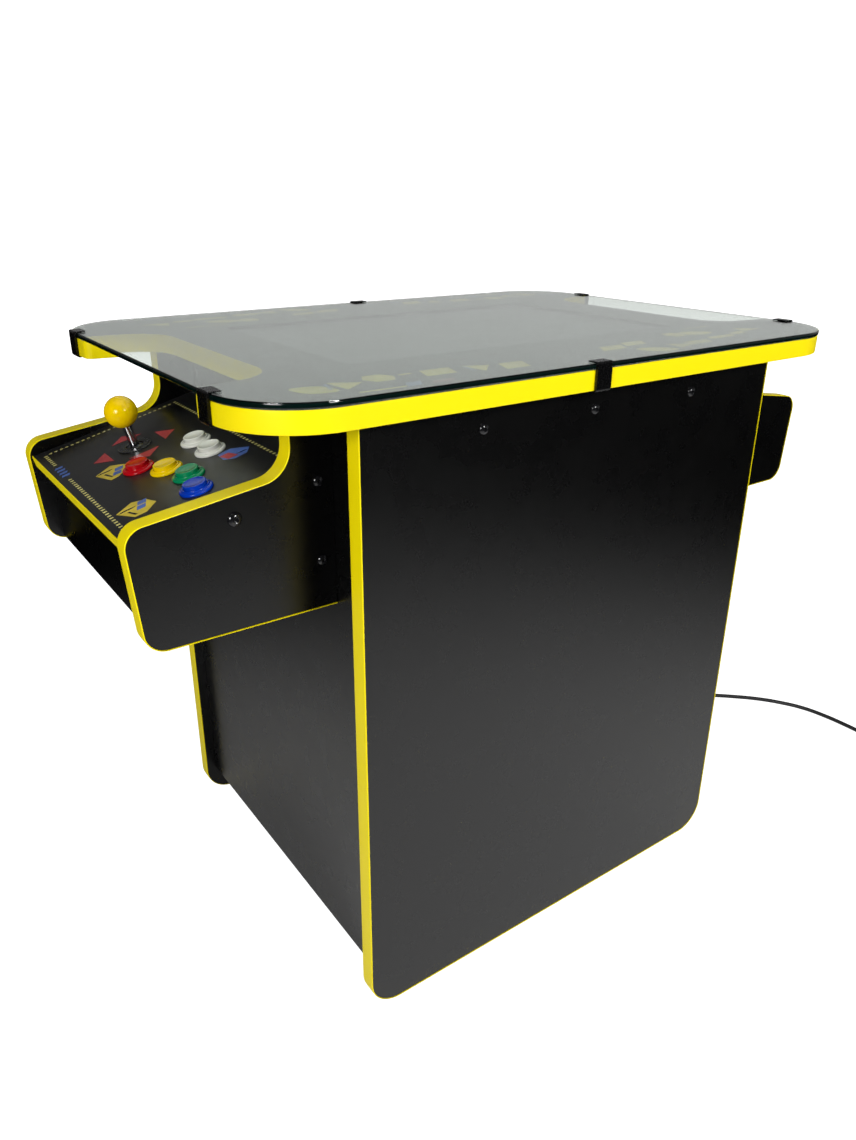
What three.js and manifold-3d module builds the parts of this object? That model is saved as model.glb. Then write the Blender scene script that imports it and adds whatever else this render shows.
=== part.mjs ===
// Two-player cocktail-table arcade cabinet, in millimetres, +Z up.
// Origin: on the floor under the middle of the table. X runs along the table from the first
// player's end (-X, left) to the second player's end (+X, right); Y runs across it, near side -Y.
import * as THREE from 'three';
import { mergeVertices } from 'three/addons/utils/BufferGeometryUtils.js';
import Module from 'manifold-3d';

const wasm = await Module();
wasm.setup();

// ---- driving dimensions ------------------------------------------------------------------

const GAP = 0.3; // left between pieces that touch
const PANEL = 19; // laminated board of the body, top and control boxes
const THIN = 12.7; // laminated board of the control decks and their boxes
const EDGE_WIDTH = 20.6; // yellow edging on the thick board
const THIN_EDGE_WIDTH = 14; // yellow edging on the thin board
const EDGE_PROUD = 1.5; // how far the edging stands out of the board's edge
const EDGE_ROUND = 1.1; // rounding of the edging's two long corners
const ARC_STEPS = 3; // half the straight steps in a rounded corner
const ROUND_STEPS = 16; // sides of a turned piece

const TABLE_HEIGHT = 735; // top of the glass
const GLASS = 6;
const SHEET = 1.3; // printed sheet between glass and board
const TABLE_X = 402.8; // half length of the glass and of the edged top
const TABLE_Y = 285; // half width of the glass and of the edged top
const TABLE_CORNER = 83;
const NOTCH_X = 318; // inner edge of the two notches over the controls
const NOTCH_INNER = 153.7; // half width of a notch at its inner edge
const NOTCH_MOUTH = 166.5; // half width of a notch at the table's end
const NOTCH_CORNER = 50;
const NOTCH_TIP = 10;

const SCREEN_X = 474; // visible picture of the monitor
const SCREEN_Y = 296;
const MONITOR_RIM = 14;
const MONITOR_DEPTH = 20;
const MONITOR_BACK = 28;

const SIDE_X = 291; // half length of a side panel's board
const SIDE_Y = 256; // outer face of a side panel
const SIDE_CORNER = 38.5;
const END_X = 277.4; // outer face of an end panel
const END_BOTTOM = 42.3;

const PLATE_Y = 182.2; // outer face of a control box's side plate
const PLATE_BOTTOM = 501.3;
const PLATE_NECK_X = 321.5;
const DECK_SLOPE = THREE.MathUtils.degToRad(15);
const DECK_X = 480; // front of the deck's top surface
const DECK_Z = 605; // height of the deck's top surface there
const FRONT_BOARD_X = 459;
const FRONT_BOARD_BOTTOM = 503;

// places on the deck: distance up the slope from its front, then across it
const STICK_AT = [91, 57];
const BUTTONS = {
  red: [71, -12],
  yellow: [89, -47],
  green: [98, -86],
  blue: [90, -125],
  white_a: [139, -7],
  white_b: [138, -49],
};
const BUTTON_FLANGE = 16.7;
const BUTTON_COLLAR = 13.3;
const BUTTON_COLLAR_TOP = 4.5;
const BUTTON_BORE = 12.1;
const BUTTON_NUT = 17;
const BUTTON_NUT_BOTTOM = -18;
const BUTTON_BARREL = 14;
const BUTTON_DEPTH = 30; // button housing below the deck's surface
const PLUNGER_RADIUS = 11.8;
const PLUNGER_TOP = 8.2;
const PLUNGER_BOTTOM = -14;

const PIVOT_DEPTH = 24; // joystick pivot below the deck's surface
const STICK_HOLE = 17.5;
const SHAFT_RADIUS = 5;
const SEAL_RADIUS = 23; // ball-shaped dust seal on the shaft, about the pivot
const SEAL_ANGLE = THREE.MathUtils.degToRad(36);
const BALL_HEIGHT = 41; // ball's middle above the deck's surface
const BALL_RADIUS = 17.5;
const GATE_SIZE = 62;
const GATE_BORE = 17;
const GATE_DEPTH = 24;

const CLIP_WIDTH = 20.5;
const CLIP_STEEL = 1.4;
const CLIP_STRAP = 3.2; // the clip's upright part, with its rubber lining
const CLIP_TAB = 10.5; // how far the clip reaches over the glass

const CORD_RADIUS = 3.4;
const CORD_EXIT = [60, 80]; // across and up on the right end panel
const GLAND_LENGTH = 38;
const COIL_AT = [771, -356]; // middle of the coiled spare length
const COIL_RADIUS = 36.3; // at the middle of its turns
const COIL_HALF_WIDTH = 12.9;
const COIL_HEIGHT = 14.8;
const PLUG_HEIGHT = 13.2; // middle of the plug above the floor
const PLUG_PAST_COIL = 28; // from the coil's middle to where the plug begins

// ---- derived heights ---------------------------------------------------------------------

const GLASS_BOTTOM = TABLE_HEIGHT - GLASS;
const SHEET_BOTTOM = GLASS_BOTTOM - SHEET - 0.4;
const BOARD_TOP = SHEET_BOTTOM - GAP;
const BOARD_BOTTOM = BOARD_TOP - PANEL;
const EDGE_OVERLAP = (EDGE_WIDTH - PANEL) / 2;
const TOP_EDGE_LIFT = 0.7; // the top's edging stands higher on its board, level with the sheet
const BODY_TOP = BOARD_BOTTOM - EDGE_OVERLAP - 0.5;
const SIDE_INNER_Y = SIDE_Y - PANEL;
const PLATE_INNER_Y = PLATE_Y - PANEL;

// ---- materials ---------------------------------------------------------------------------

const paint = (color, roughness, metalness = 0) =>
  new THREE.MeshStandardMaterial({ color, roughness, metalness });

const looks = {
  laminate: paint(0x17171a, 0.42),
  edging: paint(0xf5dc00, 0.35),
  glass: new THREE.MeshStandardMaterial({
    color: 0x9fb5a8, roughness: 0.03, transparent: true, opacity: 0.35,
  }),
  artwork: paint(0x101014, 0.6),
  screen: paint(0x0d1216, 0.2),
  circuit: paint(0x1f5a34, 0.5),
  clip: paint(0x0c0c0d, 0.4, 0.3),
  chrome: paint(0xd8dade, 0.12, 1),
  black_plastic: paint(0x131314, 0.45),
  ball: paint(0xf7c400, 0.15),
  cord: paint(0x0d0d0e, 0.55),
  red: paint(0xb80f12, 0.2),
  yellow: paint(0xe6c11b, 0.2),
  green: paint(0x0d7a45, 0.2),
  blue: paint(0x0b3fb4, 0.2),
  white_a: paint(0xe8e8e2, 0.25),
  white_b: paint(0xe8e8e2, 0.25),
};

// ---- shapes and solids -------------------------------------------------------------------

// A closed outline through corners [x, y, radius], rounded where the radius is not 0.
function roundedShape(corners) {
  const shape = new THREE.Shape();
  const at = (i) => new THREE.Vector2(...corners[(i + corners.length) % corners.length]);
  corners.forEach(([, , radius = 0], i) => {
    const into = at(i).sub(at(i - 1)).normalize();
    const out = at(i + 1).sub(at(i)).normalize();
    const turn = Math.atan2(into.cross(out), into.dot(out));
    const reach = radius * Math.abs(Math.tan(turn / 2));
    const start = at(i).addScaledVector(into, -reach);
    shape[i === 0 ? 'moveTo' : 'lineTo'](start.x, start.y);
    if (radius > 0) {
      const left = new THREE.Vector2(-into.y, into.x).multiplyScalar(Math.sign(turn) * radius);
      const angle = Math.atan2(-left.y, -left.x);
      shape.absarc(start.x + left.x, start.y + left.y, radius, angle, angle + turn, turn < 0);
    }
  });
  shape.closePath();
  return shape;
}

function rectangle(halfX, halfY, radius = 0) {
  return roundedShape([
    [-halfX, -halfY, radius], [halfX, -halfY, radius], [halfX, halfY, radius], [-halfX, halfY, radius],
  ]);
}

// Extrudes a shape along +Z, centred on z = 0, with its outline moved out by `grow`
// and its two faces' edges rounded by `round`.
function slab(shape, thickness, { grow = 0, round = 0 } = {}) {
  const body = thickness - 2 * round;
  const options = { depth: body, curveSegments: ARC_STEPS, bevelEnabled: false };
  if (grow || round) {
    const caps = round || 0.5;
    Object.assign(options, {
      depth: round ? body : thickness - 2 * caps,
      bevelEnabled: true,
      bevelThickness: caps,
      bevelSize: round,
      bevelOffset: grow - round,
      bevelSegments: 1,
    });
  }
  return new THREE.ExtrudeGeometry(shape, options).translate(0, 0, -options.depth / 2);
}

// Stands a slab up: its outline's second axis becomes Z and its thickness lies along Y.
const upright = (geometry) => geometry.rotateX(Math.PI / 2);

function solid(geometry) {
  const bare = geometry.clone();
  bare.deleteAttribute('normal');
  bare.deleteAttribute('uv');
  const merged = mergeVertices(bare, 1e-4);
  const mesh = new wasm.Mesh({
    numProp: 3,
    vertProperties: new Float32Array(merged.attributes.position.array),
    triVerts: new Uint32Array(merged.index.array),
  });
  return new wasm.Manifold(mesh);
}

function geometryOf(manifold) {
  const mesh = manifold.getMesh();
  const geometry = new THREE.BufferGeometry();
  geometry.setAttribute('position', new THREE.BufferAttribute(mesh.vertProperties, 3));
  geometry.setIndex(new THREE.BufferAttribute(mesh.triVerts, 1));
  geometry.computeVertexNormals();
  return geometry;
}

function block(lowX, highX, lowY, highY, lowZ, highZ) {
  const geometry = new THREE.BoxGeometry(highX - lowX, highY - lowY, highZ - lowZ);
  return geometry.translate((lowX + highX) / 2, (lowY + highY) / 2, (lowZ + highZ) / 2);
}

// Turns a profile of [radius, height] points about Z. A profile that starts and ends on the
// axis gives a full body; `ring` closes the profile on itself instead.
function turned(points, { ring = false, steps = ROUND_STEPS } = {}) {
  const profile = points.map(([radius, height]) => new THREE.Vector2(radius, height));
  if (ring) {
    profile.push(profile[0].clone());
  }
  return new THREE.LatheGeometry(profile, steps).rotateX(Math.PI / 2);
}

const arcPoints = (radius, from, to, steps, centre = 0) =>
  Array.from({ length: steps + 1 }, (_, i) => {
    const angle = from + ((to - from) * i) / steps;
    return [radius * Math.sin(angle), centre + radius * Math.cos(angle)];
  });

// Edging strip around a board's outline: a rounded slab less the board itself, kept inside `keep`.
function edging(shape, width, keep = null) {
  const outer = solid(slab(shape, width, { grow: EDGE_PROUD, round: EDGE_ROUND }));
  const inner = solid(slab(shape, width + 2, { grow: GAP }));
  const strip = outer.subtract(inner);
  return geometryOf(keep ? strip.intersect(solid(keep)) : strip);
}

function piece(name, geometry, look, parent) {
  const mesh = new THREE.Mesh(geometry, looks[look]);
  mesh.name = name;
  parent.add(mesh);
  return mesh;
}

// ---- body --------------------------------------------------------------------------------

function sidePanelShape(top) {
  return roundedShape([
    [-SIDE_X, EDGE_PROUD, SIDE_CORNER], [SIDE_X, EDGE_PROUD, SIDE_CORNER], [SIDE_X, top], [-SIDE_X, top],
  ]);
}

function addSides(cabinet) {
  for (const [side, sign] of [['near', -1], ['far', 1]]) {
    const y = sign * (SIDE_Y - PANEL / 2);
    const board = upright(slab(sidePanelShape(BODY_TOP), PANEL));
    piece(`side_panel_${side}`, board, 'laminate', cabinet).position.y = y;
    const below = block(-SIDE_X * 2, SIDE_X * 2, -TABLE_HEIGHT, BODY_TOP, -PANEL * 2, PANEL * 2);
    const strip = upright(edging(sidePanelShape(TABLE_HEIGHT), EDGE_WIDTH, below));
    piece(`side_edging_${side}`, strip, 'edging', cabinet).position.y = y;
  }
}

function addEndsAndBase(cabinet) {
  const halfY = SIDE_INNER_Y - GAP;
  const inner = END_X - PANEL;
  piece('end_panel_left', block(-END_X, -inner, -halfY, halfY, END_BOTTOM, BODY_TOP), 'laminate', cabinet);
  piece('end_panel_right', block(inner, END_X, -halfY, halfY, END_BOTTOM, BODY_TOP), 'laminate', cabinet);
  const reach = inner - GAP;
  const base = block(-reach, reach, -halfY, halfY, END_BOTTOM, END_BOTTOM + PANEL);
  piece('base_panel', base, 'laminate', cabinet);
}

// ---- table top ---------------------------------------------------------------------------

// Outline of the top's board: rounded ends with a notch over each player's controls.
function topShape() {
  const x = TABLE_X - EDGE_PROUD;
  const y = TABLE_Y - EDGE_PROUD;
  const corner = TABLE_CORNER - EDGE_PROUD;
  const mouth = NOTCH_MOUTH + EDGE_PROUD;
  const notchX = NOTCH_X - EDGE_PROUD;
  const inner = NOTCH_INNER + EDGE_PROUD;
  const tip = NOTCH_TIP - EDGE_PROUD;
  const bend = NOTCH_CORNER + EDGE_PROUD;
  return roundedShape([
    [x, mouth, tip], [x, y, corner], [-x, y, corner], [-x, mouth, tip],
    [-notchX, inner, bend], [-notchX, -inner, bend],
    [-x, -mouth, tip], [-x, -y, corner], [x, -y, corner], [x, -mouth, tip],
    [notchX, -inner, bend], [notchX, inner, bend],
  ]);
}

function addTop(cabinet) {
  const boardMiddle = BOARD_BOTTOM + PANEL / 2;
  const board = topShape();
  const opening = MONITOR_RIM + 2;
  board.holes.push(rectangle(SCREEN_X / 2 + opening, SCREEN_Y / 2 + opening, 3));
  piece('top_board', slab(board, PANEL), 'laminate', cabinet).position.z = boardMiddle;
  const strip = piece('top_edging', edging(topShape(), EDGE_WIDTH), 'edging', cabinet);
  strip.position.z = boardMiddle + TOP_EDGE_LIFT;
  const sheet = topShape();
  sheet.holes.push(rectangle(SCREEN_X / 2, SCREEN_Y / 2));
  piece('artwork_sheet', slab(sheet, SHEET), 'artwork', cabinet).position.z = SHEET_BOTTOM + SHEET / 2;
  const glass = rectangle(TABLE_X, TABLE_Y, TABLE_CORNER);
  piece('glass_top', slab(glass, GLASS, { round: 0.6 }), 'glass', cabinet).position.z =
    GLASS_BOTTOM + GLASS / 2;
}

function addMonitor(cabinet) {
  const face = BOARD_TOP - GAP;
  const halfX = SCREEN_X / 2 + MONITOR_RIM;
  const halfY = SCREEN_Y / 2 + MONITOR_RIM;
  const rim = solid(block(-halfX, halfX, -halfY, halfY, face - MONITOR_DEPTH, face));
  const low = face - MONITOR_DEPTH - MONITOR_BACK;
  const back = solid(block(-halfX * 0.75, halfX * 0.75, -halfY * 0.7, halfY * 0.7, low, face - 1));
  piece('monitor', geometryOf(rim.add(back)), 'screen', cabinet);
  const reach = SIDE_INNER_Y - GAP;
  const shelf = block(-170, 170, -reach, reach, low - GAP - 12, low - GAP);
  piece('monitor_shelf', shelf, 'laminate', cabinet);
}

// Game circuit board on the base: a board with its main chips and sockets.
function addGameBoard(cabinet) {
  const floor = END_BOTTOM + PANEL + GAP;
  const surface = floor + 8;
  // each chip or socket: its middle, its size along X and how tall it stands
  const chips = [[-60, -30, 34, 12], [10, -40, 34, 12], [60, 20, 26, 18], [-40, 45, 60, 9], [25, 60, 20, 15]];
  let board = solid(block(-110, 110, -85, 85, floor, surface));
  for (const [x, y, size, tall] of chips) {
    const [halfX, halfY] = [size / 2, size / 3];
    board = board.add(solid(block(x - halfX, x + halfX, y - halfY, y + halfY, surface - 1, surface + tall)));
  }
  piece('game_board', geometryOf(board), 'circuit', cabinet).position.set(-60, 40, 0);
}

// C-shaped steel clip over the glass, down the table's edge and under it. It is built at the
// origin facing -Y, with the table's edge on y = 0.
function clipGeometry() {
  const top = TABLE_HEIGHT + GAP;
  const bottom = BOARD_BOTTOM - EDGE_OVERLAP + TOP_EDGE_LIFT - GAP;
  const out = -GAP;
  const shape = new THREE.Shape([
    [out - CLIP_STRAP, top + CLIP_STEEL], [out - CLIP_STRAP, bottom - CLIP_STEEL],
    [CLIP_TAB * 0.8, bottom - CLIP_STEEL], [CLIP_TAB * 0.8, bottom], [out, bottom], [out, top],
    [CLIP_TAB, top], [CLIP_TAB, top + CLIP_STEEL],
  ].map(([y, z]) => new THREE.Vector2(y, z)));
  return slab(shape, CLIP_WIDTH).rotateX(Math.PI / 2).rotateZ(Math.PI / 2);
}

function addClips(cabinet) {
  // each clip was pushed on by hand, so none stands exactly opposite another
  const places = {
    clip_side_near: [-26.6, -TABLE_Y, 0],
    clip_side_far: [34, TABLE_Y, Math.PI],
    clip_left_near: [-TABLE_X, -195.2, -Math.PI / 2],
    clip_left_far: [-TABLE_X, 205, -Math.PI / 2],
    clip_right_near: [TABLE_X, -198, Math.PI / 2],
    clip_right_far: [TABLE_X, 176, Math.PI / 2],
  };
  for (const [name, [x, y, turn]] of Object.entries(places)) {
    const clip = piece(name, clipGeometry(), 'clip', cabinet);
    clip.position.set(x, y, 0);
    clip.rotation.z = turn;
  }
}

// ---- control boxes -----------------------------------------------------------------------
// Both are built for the left end; the right one is the same group turned half round.

// Side plate seen from the near side: neck under the table, hollow bend, sloping top, nose.
// `back` and `top` are where the outline is closed behind the end panel and above the body.
function plateShape(back, top) {
  return roundedShape([
    [back, PLATE_BOTTOM], [back, top], [-PLATE_NECK_X, top], [-PLATE_NECK_X, 644.0, 32.5],
    [-483, 620.3, 19.5], [-473.7, PLATE_BOTTOM, 21],
  ].reverse());
}

function addPlates(box, names) {
  const back = -END_X - GAP;
  for (const [name, sign] of names) {
    const y = sign * (PLATE_Y - PANEL / 2);
    const board = upright(slab(plateShape(back, BODY_TOP), PANEL));
    piece(`control_plate_${name}`, board, 'laminate', box).position.y = y;
    const keep = block(-TABLE_HEIGHT, back, 0, BODY_TOP, -PANEL * 2, PANEL * 2);
    const strip = upright(edging(plateShape(0, TABLE_HEIGHT), EDGE_WIDTH, keep));
    piece(`plate_edging_${name}`, strip, 'edging', box).position.y = y;
  }
}

// A button's fixed body: flange and collar above the deck, threaded barrel and nut below.
function buttonHousing() {
  return turned([
    [0, -BUTTON_DEPTH], [BUTTON_BARREL, -BUTTON_DEPTH], [BUTTON_BARREL, BUTTON_NUT_BOTTOM],
    [BUTTON_NUT, BUTTON_NUT_BOTTOM], [BUTTON_NUT, -THIN / 2], [BUTTON_FLANGE, -THIN / 2],
    [BUTTON_FLANGE, 2.4], [BUTTON_COLLAR, BUTTON_COLLAR_TOP], [0, BUTTON_COLLAR_TOP],
  ]);
}

// Deck board in the slope's own axes: x up the slope from its front edge, z out of its surface.
// Its six button housings are one body with it.
function deckGeometry(length) {
  const halfY = PLATE_INNER_Y - GAP;
  let deck = solid(block(EDGE_PROUD, length, -halfY, halfY, -THIN, 0));
  for (const [x, y] of Object.values(BUTTONS)) {
    const barrel = new THREE.CylinderGeometry(BUTTON_BORE, BUTTON_BORE, BUTTON_DEPTH + 8, ROUND_STEPS);
    const bore = barrel.rotateX(Math.PI / 2).translate(x, y, (10 - BUTTON_DEPTH) / 2 + 1);
    deck = deck.add(solid(buttonHousing().translate(x, y, 0))).subtract(solid(bore));
  }
  const hole = new THREE.CylinderGeometry(STICK_HOLE, STICK_HOLE, THIN * 3, ROUND_STEPS);
  return geometryOf(deck.subtract(solid(hole.rotateX(Math.PI / 2).translate(...STICK_AT, 0))));
}

function addDeck(box, slope, end) {
  const length = (DECK_X - END_X - 2 * GAP) / Math.cos(DECK_SLOPE) - THIN * Math.tan(DECK_SLOPE);
  piece(`control_deck_${end}`, deckGeometry(length), 'laminate', slope);
  const halfY = PLATE_INNER_Y - GAP;
  const section = roundedShape([
    [0, -(THIN + THIN_EDGE_WIDTH) / 2, EDGE_ROUND], [EDGE_PROUD - GAP, -(THIN + THIN_EDGE_WIDTH) / 2],
    [EDGE_PROUD - GAP, (THIN_EDGE_WIDTH - THIN) / 2], [0, (THIN_EDGE_WIDTH - THIN) / 2, EDGE_ROUND],
  ]);
  piece(`deck_edging_${end}`, upright(slab(section, 2 * halfY)), 'edging', slope);
  const frontTop = DECK_Z - THIN / Math.cos(DECK_SLOPE) + (DECK_X - FRONT_BOARD_X) * Math.tan(DECK_SLOPE) - 1.2;
  const inner = -FRONT_BOARD_X + THIN;
  const front = block(-FRONT_BOARD_X, inner, -halfY, halfY, FRONT_BOARD_BOTTOM, frontTop);
  piece(`control_front_${end}`, front, 'laminate', box);
  const floor = block(inner + GAP, -END_X - GAP, -halfY, halfY, FRONT_BOARD_BOTTOM, FRONT_BOARD_BOTTOM + THIN);
  piece(`control_floor_${end}`, floor, 'laminate', box);
}

function addButtons(slope, end) {
  for (const [name, [x, y]] of Object.entries(BUTTONS)) {
    const plunger = turned([
      [0, PLUNGER_BOTTOM], [PLUNGER_RADIUS, PLUNGER_BOTTOM], [PLUNGER_RADIUS, PLUNGER_TOP - 0.9],
      [PLUNGER_RADIUS - 1.6, PLUNGER_TOP], [0, PLUNGER_TOP - 1.2],
    ]);
    piece(`button_${name}_${end}`, plunger, name, slope).position.set(x, y, 0);
  }
}

// Joystick, built about its pivot with the shaft along the slope's own z.
function addJoystick(slope, end) {
  const stick = new THREE.Group();
  stick.position.set(...STICK_AT, -PIVOT_DEPTH);
  slope.add(stick);

  const gateTop = PIVOT_DEPTH - THIN - GAP;
  const half = GATE_SIZE / 2;
  const bore = new THREE.CylinderGeometry(GATE_BORE, GATE_BORE, GATE_DEPTH * 3, ROUND_STEPS);
  const gate = solid(block(-half, half, -half, half, gateTop - GATE_DEPTH, gateTop));
  const open = gate.subtract(solid(bore.rotateX(Math.PI / 2)));
  piece(`joystick_gate_${end}`, geometryOf(open), 'black_plastic', stick);

  const ring = solid(turned([[8.6, -3.5], [13, -3.5], [13, 3.5], [8.6, 3.5]], { ring: true }));
  const trunnion = (from, to, along) => {
    const pin = new THREE.CylinderGeometry(2.2, 2.2, to - from, 8).translate(0, (from + to) / 2, 0);
    return solid(along === 'x' ? pin.rotateZ(-Math.PI / 2) : pin);
  };
  const yoke = ring.add(trunnion(11, GATE_BORE - 0.6, 'y')).add(trunnion(-(GATE_BORE - 0.6), -11, 'y'));
  piece(`joystick_gimbal_${end}`, geometryOf(yoke), 'black_plastic', stick);

  const top = PIVOT_DEPTH + BALL_HEIGHT;
  const lip = Math.asin(SHAFT_RADIUS / SEAL_RADIUS);
  const inside = SEAL_RADIUS - 2;
  const profile = [
    [0, -22], [7, -22], [7, -12], [SHAFT_RADIUS, -10],
    ...arcPoints(inside, Math.asin(SHAFT_RADIUS / inside), SEAL_ANGLE, 3),
    ...arcPoints(SEAL_RADIUS, SEAL_ANGLE, lip, 3),
    [SHAFT_RADIUS, top - GAP], [0, top - GAP],
  ];
  const pins = trunnion(-8.2, 8.2, 'x');
  piece(`joystick_shaft_${end}`, geometryOf(solid(turned(profile)).add(pins)), 'chrome', stick);

  const socket = SHAFT_RADIUS + GAP;
  const from = Math.PI - Math.asin(socket / BALL_RADIUS);
  const ball = turned([
    [0, top], [socket, top], ...arcPoints(BALL_RADIUS, from, 0, 7, top),
  ]);
  piece(`joystick_ball_${end}`, ball, 'ball', stick);
}

function addControlBox(cabinet, end) {
  const box = new THREE.Group();
  box.rotation.z = end === 'left' ? 0 : Math.PI;
  cabinet.add(box);
  const slope = new THREE.Group();
  slope.position.set(-DECK_X, 0, DECK_Z);
  slope.rotation.y = -DECK_SLOPE;
  box.add(slope);
  const near = end === 'left' ? -1 : 1;
  addPlates(box, [[`${end}_near`, near], [`${end}_far`, -near]]);
  addDeck(box, slope, end);
  addButtons(slope, end);
  addJoystick(slope, end);
}

// ---- mains cord --------------------------------------------------------------------------

// The cord's middle line from the gland to the coil: out of the panel, down, across the floor.
const CORD_ROUTE = [
  [316, 60, 80], [334, 60, 78], [352, 60, 68], [370, 60, 50], [386, 60, 31], [404, 60, 16],
  [426, 59, 6.5], [452, 56, 3.6], [486, 47, 3.6], [524, 29, 3.6], [562, 2, 3.6], [600, -34, 3.6],
  [636, -66, 3.6], [668, -98, 3.6], [694, -133, 3.6], [712, -168, 3.6], [721, -206, 3.6],
  [724.6, -246, 3.6], [725.4, -288, 3.6], [725.4, -329.9, 3.6],
];

function addCord(cabinet) {
  const [y, z] = CORD_EXIT;
  const gland = turned([
    [0, 0], [11, 0], [11, 3], [8, 5], [5, GLAND_LENGTH - GAP * 2], [0, GLAND_LENGTH - GAP * 2],
  ]).rotateY(Math.PI / 2);
  piece('cord_gland', gland, 'black_plastic', cabinet).position.set(END_X + GAP, y, z);

  const curve = new THREE.CatmullRomCurve3(CORD_ROUTE.map((point) => new THREE.Vector3(...point)));
  const section = new THREE.Shape();
  section.absarc(0, 0, CORD_RADIUS, 0, Math.PI * 2);
  const tube = new THREE.ExtrudeGeometry(section, {
    steps: 40, curveSegments: ARC_STEPS + 1, extrudePath: curve, bevelEnabled: false,
  });
  piece('mains_cord', tube, 'cord', cabinet);

  const [low, high] = [COIL_RADIUS - COIL_HALF_WIDTH, COIL_RADIUS + COIL_HALF_WIDTH];
  const coil = turned([
    [low, 1.5], [low + 1.5, 0.2], [high - 1.5, 0.2], [high, 1.5],
    [high, COIL_HEIGHT - 1.5], [high - 1.5, COIL_HEIGHT], [low + 1.5, COIL_HEIGHT], [low, COIL_HEIGHT - 1.5],
  ], { ring: true, steps: 24 });
  piece('mains_coil', coil, 'cord', cabinet).position.set(...COIL_AT, 0);

  addPlug(cabinet);
}

// Three-pin mains plug lying beside the coil, its strain relief towards the coil.
function addPlug(cabinet) {
  const nose = turned([[0, 0], [4.6, 0], [7.5, 26], [0, 26]]);
  let plug = solid(nose).add(solid(slab(rectangle(13, 12.8, 5), 38, { round: 3 }).translate(0, 0, 43)));
  for (const [across, up] of [[-6.3, 2], [6.3, 2], [0, -6]]) {
    plug = plug.add(solid(block(across - 1.2, across + 1.2, up - 3, up + 3, 60, 80)));
  }
  const mesh = piece('mains_plug', geometryOf(plug).rotateX(-Math.PI / 2), 'black_plastic', cabinet);
  const outside = COIL_RADIUS + COIL_HALF_WIDTH - CORD_RADIUS;
  mesh.position.set(COIL_AT[0] + outside, COIL_AT[1] + PLUG_PAST_COIL, PLUG_HEIGHT);
}

// ---- the whole cabinet -------------------------------------------------------------------

const cabinet = new THREE.Group();
addSides(cabinet);
addEndsAndBase(cabinet);
addTop(cabinet);
addMonitor(cabinet);
addGameBoard(cabinet);
addClips(cabinet);
addControlBox(cabinet, 'left');
addControlBox(cabinet, 'right');
addCord(cabinet);

export default cabinet;
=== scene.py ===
"""Looks of the two-player cocktail-table arcade cabinet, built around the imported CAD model.

Shapes are written in millimetres in the CAD frame and scaled to metres when they become meshes.
"""
import math

import bmesh
import bpy
from mathutils import Matrix, Vector, geometry


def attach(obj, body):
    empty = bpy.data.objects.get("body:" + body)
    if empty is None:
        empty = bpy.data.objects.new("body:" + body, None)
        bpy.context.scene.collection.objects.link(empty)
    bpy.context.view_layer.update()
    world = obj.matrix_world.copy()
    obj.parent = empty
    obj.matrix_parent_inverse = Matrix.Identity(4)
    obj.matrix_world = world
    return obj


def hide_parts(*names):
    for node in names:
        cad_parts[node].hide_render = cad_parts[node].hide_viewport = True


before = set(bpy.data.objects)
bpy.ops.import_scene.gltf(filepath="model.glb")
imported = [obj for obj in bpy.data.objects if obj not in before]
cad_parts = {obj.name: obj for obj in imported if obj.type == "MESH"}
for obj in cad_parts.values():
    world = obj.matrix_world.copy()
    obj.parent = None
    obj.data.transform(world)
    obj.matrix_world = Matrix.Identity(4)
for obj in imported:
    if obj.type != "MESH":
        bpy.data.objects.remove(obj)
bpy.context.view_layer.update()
SCENE = bpy.context.scene
MM = 0.001

# ---- dimensions shared with the CAD part, in millimetres -----------------------------------

GAP = 0.3
PANEL = 19.0
THIN = 12.7
EDGE_HALF = 10.3  # half width of the thick board's edging
EDGE_PROUD = 1.5
TOP_EDGE_LIFT = 0.7  # the top's edging stands higher on its board, level with the sheet
TABLE_X, TABLE_Y, TABLE_CORNER = 402.8, 285.0, 83.0
TABLE_TOP = 735.0
GLASS_BOTTOM = 729.0
SHEET_LOW, SHEET_TOP = 727.3, 728.6
BOARD_LOW, BOARD_TOP = 708.0, 727.0
SCREEN_X, SCREEN_Y = 474.0, 296.0
OPENING_MARGIN, MONITOR_MARGIN = 16.0, 14.0  # how far each reaches past the screen
NOTCH_X, NOTCH_INNER, NOTCH_MOUTH, NOTCH_CORNER, NOTCH_TIP = 318.0, 153.7, 166.5, 50.0, 10.0
SIDE_X, SIDE_Y, SIDE_CORNER = 291.0, 256.0, 38.5
END_X = 277.4
BODY_TOP = 706.7
SIDE_BOLT_X, SIDE_BOLT_HEIGHT, SIDE_BOLT_SIZE = (-152, -2, 152), 680, 0.88
PLATE_Y = 182.2
PLATE_NECK_X, PLATE_BOTTOM = 321.5, 501.3
PLATE_BOLTS = ((-381, 613, 1.12), (-294, 634, 0.84), (-293, 552, 0.84))  # (x, z, size)
DECK_SLOPE = math.radians(15)
DECK_X, DECK_Z = 480.0, 605.0
DECK_HALF = 162.9
DECK_LENGTH = 205.6
DECK_EDGE_RISE = 0.65  # the front edging stands out this far above and below the deck
BUTTON_HOLE, STICK_HOLE = 14.3, 17.5
STICK_AT = (91.0, 57.0)
PIVOT_DEPTH = 24.0
BALL_HEIGHT, BALL_RADIUS, BALL_FLAT = 41.0, 17.5, 5.3
SHAFT_RADIUS, SEAL_OUTER, SEAL_INNER = 5.0, 25.9, 24.4
BUTTONS = {
    "red": (71, -12), "yellow": (89, -47), "green": (98, -86),
    "blue": (90, -125), "white_a": (139, -7), "white_b": (138, -49),
}
CLIP_WIDTH, CLIP_STEEL, CLIP_STRAP, CLIP_TAB = 20.5, 1.4, 3.2, 10.5
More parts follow.
